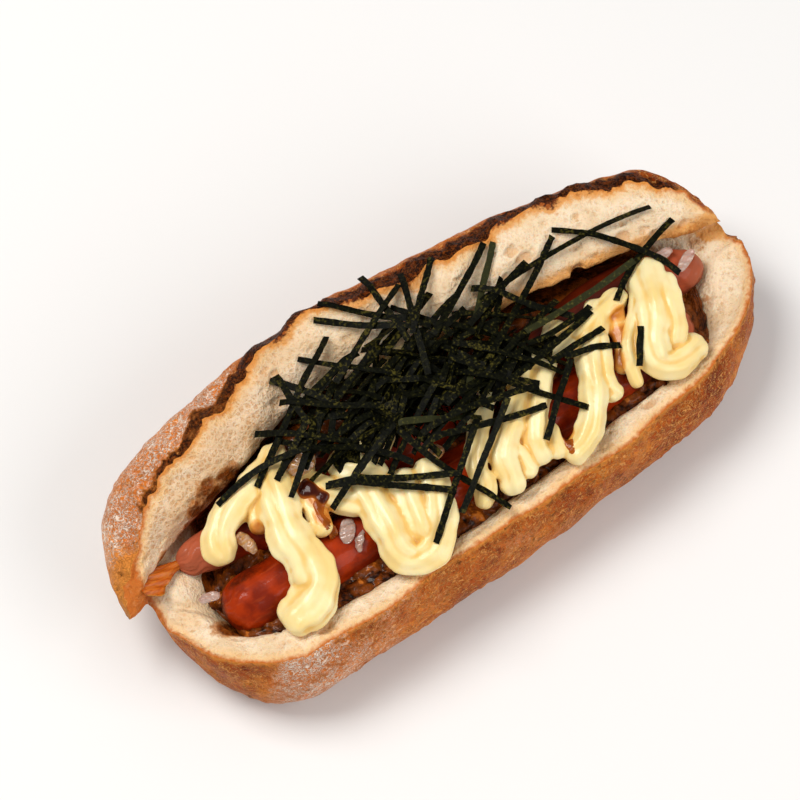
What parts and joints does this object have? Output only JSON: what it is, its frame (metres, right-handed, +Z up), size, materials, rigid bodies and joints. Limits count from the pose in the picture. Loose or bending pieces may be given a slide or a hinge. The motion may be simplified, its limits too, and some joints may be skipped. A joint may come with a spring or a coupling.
{
  "type": "hot dog",
  "caption": "Crusty split roll filled with sausages lying side by side, piped mayonnaise, chopped onion in brown sauce, onion flakes and a heap of shredded seaweed.",
  "frame": {"origin": "centre of the box round the whole hot dog, on the surface it rests on", "axes": "+X along the roll, towards the end where the slit's edges stay open; +Y towards the lid's hinged back; -Y the open front; +Z up"},
  "size_m": [0.2348, 0.101, 0.06],
  "materials": {
    "bread": "matte, floured baked crust outside and porous pale crumb inside",
    "sausage": "glossy, moist red-brown casing",
    "mayonnaise": "smooth, softly glossy pale cream",
    "onion": "moist, translucent",
    "relish": "wet, dark brown sauce over chopped onion",
    "nori": "dry, dull with a faint sheen, very dark green"
  },
  "bodies": {
    "root": {"bun": "bread", "sausage_front": "sausage", "sausage_back": "sausage", "mayonnaise_left": "mayonnaise", "mayonnaise_middle": "mayonnaise", "mayonnaise_right": "mayonnaise", "onion_1": "onion", "onion_2": "onion", "onion_3": "onion", "onion_4": "onion", "onion_5": "onion", "onion_6": "onion", "onion_7": "onion", "onion_8": "onion", "onion_9": "onion", "relish": "relish", "nori": "nori"}
  },
  "joints": []
}
